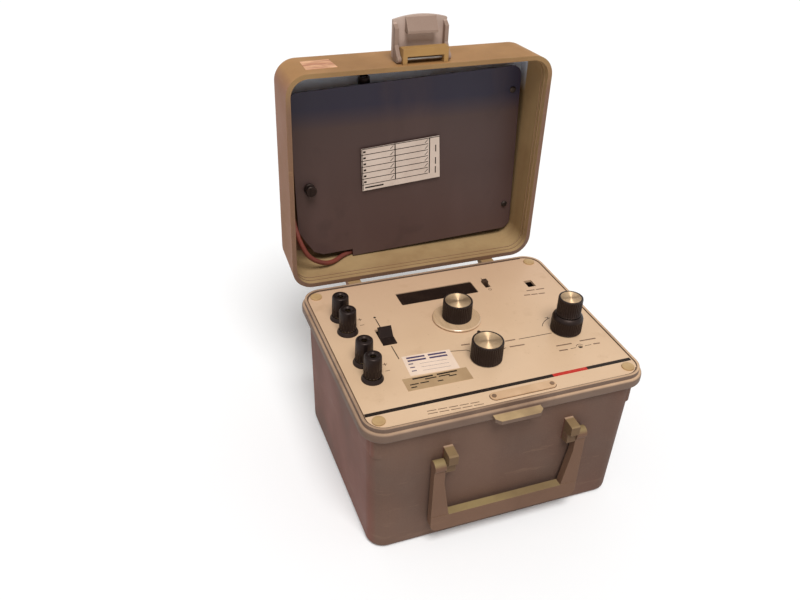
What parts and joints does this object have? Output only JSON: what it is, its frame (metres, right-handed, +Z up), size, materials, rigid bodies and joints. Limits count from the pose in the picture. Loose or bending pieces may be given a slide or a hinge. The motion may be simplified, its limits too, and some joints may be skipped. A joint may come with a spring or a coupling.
{
  "type": "portable thermocouple test set",
  "caption": "Portable temperature-probe and millivolt test set in a moulded case: open hinged lid with a latch, instrument panel with knobs, a rocker, binding posts and a carrying handle.",
  "frame": {"origin": "on the table under the middle of the base", "axes": "+X to the right, +Y to the back where the lid is hinged, +Z up"},
  "size_m": [0.214, 0.248, 0.3225],
  "materials": {
    "case_plastic": "fine grained moulding",
    "panel_paint": "satin paint",
    "screw_caps": "satin",
    "dark_window": "polished",
    "display_face": "gloss",
    "circuit_board": "lacquered",
    "components": "satin",
    "steel": "satin",
    "switch_bodies": "plated",
    "post_metal": "bright",
    "cells": "sleeve",
    "black_plastic": "satin",
    "spun_inlay": "spun",
    "clear_skirt": "clear",
    "cover_board": "semi gloss",
    "red_lead": "matte"
  },
  "bodies": {
    "case": {"base_shell": "case_plastic", "front_panel": "panel_paint", "panel_screws": "screw_caps", "display_window": "dark_window", "display_digits": "display_face", "display_board": "circuit_board", "main_circuit_board": "circuit_board", "board_components": "components", "inner_screws": "steel", "battery_cells": "cells", "battery_clamp": "steel", "post_flanges": "black_plastic", "post_studs": "post_metal", "post_nuts": "steel", "selector_switch_body": "switch_bodies", "mode_switch_body": "switch_bodies", "output_control_body": "switch_bodies", "control_nuts": "steel", "rocker_housing": "black_plastic", "power_switch_body": "switch_bodies", "charger_jack": "black_plastic", "trimmer": "components", "nameplate": "panel_paint", "nameplate_rivets": "steel", "hinge_pins": "steel"},
    "lid": {"lid_shell": "case_plastic", "storage_cover": "cover_board", "cover_screws": "steel", "latch_pin": "steel", "test_lead_coil": "red_lead", "test_lead_upper": "red_lead", "test_lead_lower": "red_lead", "test_plug_a": "black_plastic", "test_plug_b": "black_plastic"},
    "latch": {"latch_plate": "case_plastic"},
    "handle": {"carry_handle": "case_plastic"},
    "fastener": {"cover_knob": "black_plastic"},
    "selector": {"selector_knob": "black_plastic", "selector_inlay": "spun_inlay", "selector_skirt": "clear_skirt", "selector_shaft": "steel"},
    "mode": {"mode_knob": "black_plastic", "mode_inlay": "spun_inlay", "mode_shaft": "steel"},
    "coarse": {"coarse_knob": "black_plastic", "coarse_shaft": "steel"},
    "fine": {"fine_knob": "black_plastic", "fine_inlay": "spun_inlay", "fine_shaft": "steel"},
    "rocker": {"rocker_paddle": "black_plastic"},
    "power": {"power_slider": "black_plastic"},
    "post_washer_1_body": {"post_washer_1": "post_metal"},
    "post_cap_1_body": {"post_cap_1": "black_plastic"},
    "post_washer_2_body": {"post_washer_2": "post_metal"},
    "post_cap_2_body": {"post_cap_2": "black_plastic"},
    "post_washer_3_body": {"post_washer_3": "post_metal"},
    "post_cap_3_body": {"post_cap_3": "black_plastic"},
    "post_washer_4_body": {"post_washer_4": "post_metal"},
    "post_cap_4_body": {"post_cap_4": "black_plastic"}
  },
  "joints": [
    {"name": "lid_hinge", "type": "hinge", "parent": "case", "child": "lid", "pos_m": [0, 0.0914, 0.1104], "axis": [1, 0, 0], "range_deg": [0, 90]},
    {"name": "latch_pivot", "type": "hinge", "parent": "lid", "child": "latch", "pos_m": [0, 0.1085, 0.2935], "axis": [1, 0, 0], "range_deg": [0, 90]},
    {"name": "handle_pivot", "type": "hinge", "parent": "case", "child": "handle", "pos_m": [0, -0.0885, 0.078], "axis": [-1, 0, 0], "range_deg": [0, 115]},
    {"name": "cover_fastener", "type": "hinge", "parent": "lid", "child": "fastener", "pos_m": [-0.08364, 0.13, 0.1867], "axis": [0, -1, 0], "range_deg": [0, 90]},
    {"name": "selector_turn", "type": "hinge", "parent": "case", "child": "selector", "pos_m": [0.0005, 0.016, 0.1189], "axis": [0, 0, 1], "range_deg": [-150, 150]},
    {"name": "mode_turn", "type": "hinge", "parent": "case", "child": "mode", "pos_m": [0.0012, -0.0363, 0.1189], "axis": [0, 0, 1], "range_deg": [-60, 60]},
    {"name": "coarse_turn", "type": "hinge", "parent": "case", "child": "coarse", "pos_m": [0.075, -0.0215, 0.1189], "axis": [0, 0, 1], "range_deg": [-150, 150]},
    {"name": "fine_turn", "type": "hinge", "parent": "case", "child": "fine", "pos_m": [0.075, -0.0215, 0.1189], "axis": [0, 0, 1], "range_deg": [-150, 150]},
    {"name": "rocker_tip", "type": "hinge", "parent": "case", "child": "rocker", "pos_m": [-0.0593, 0.0104, 0.11541], "axis": [1, 0, 0], "range_deg": [-48, 0]},
    {"name": "power_slide", "type": "slide", "parent": "case", "child": "power", "axis": [0, -1, 0], "range_m": [0, 0.0046]},
    {"name": "post_rise_1", "type": "slide", "parent": "case", "child": "post_washer_1_body", "axis": [0, 0, 1], "range_m": [0, 0.0028]},
    {"name": "post_screw_1", "type": "hinge", "parent": "post_washer_1_body", "child": "post_cap_1_body", "pos_m": [-0.0845, 0.04353, 0.1289], "axis": [0, 0, 1], "range_deg": [0, 1261]},
    {"name": "post_rise_2", "type": "slide", "parent": "case", "child": "post_washer_2_body", "axis": [0, 0, 1], "range_m": [0, 0.0028]},
    {"name": "post_screw_2", "type": "hinge", "parent": "post_washer_2_body", "child": "post_cap_2_body", "pos_m": [-0.0845, 0.02448, 0.1289], "axis": [0, 0, 1], "range_deg": [0, 1261]},
    {"name": "post_rise_3", "type": "slide", "parent": "case", "child": "post_washer_3_body", "axis": [0, 0, 1], "range_m": [0, 0.0028]},
    {"name": "post_screw_3", "type": "hinge", "parent": "post_washer_3_body", "child": "post_cap_3_body", "pos_m": [-0.0845, -0.01457, 0.1289], "axis": [0, 0, 1], "range_deg": [0, 1261]},
    {"name": "post_rise_4", "type": "slide", "parent": "case", "child": "post_washer_4_body", "axis": [0, 0, 1], "range_m": [0, 0.0028]},
    {"name": "post_screw_4", "type": "hinge", "parent": "post_washer_4_body", "child": "post_cap_4_body", "pos_m": [-0.0845, -0.03363, 0.1289], "axis": [0, 0, 1], "range_deg": [0, 1261]}
  ],
  "couplings": [
    {"joint": "post_screw_1", "follows": "post_rise_1", "rad_per_m": 7854},
    {"joint": "post_screw_2", "follows": "post_rise_2", "rad_per_m": 7854},
    {"joint": "post_screw_3", "follows": "post_rise_3", "rad_per_m": 7854},
    {"joint": "post_screw_4", "follows": "post_rise_4", "rad_per_m": 7854}
  ]
}
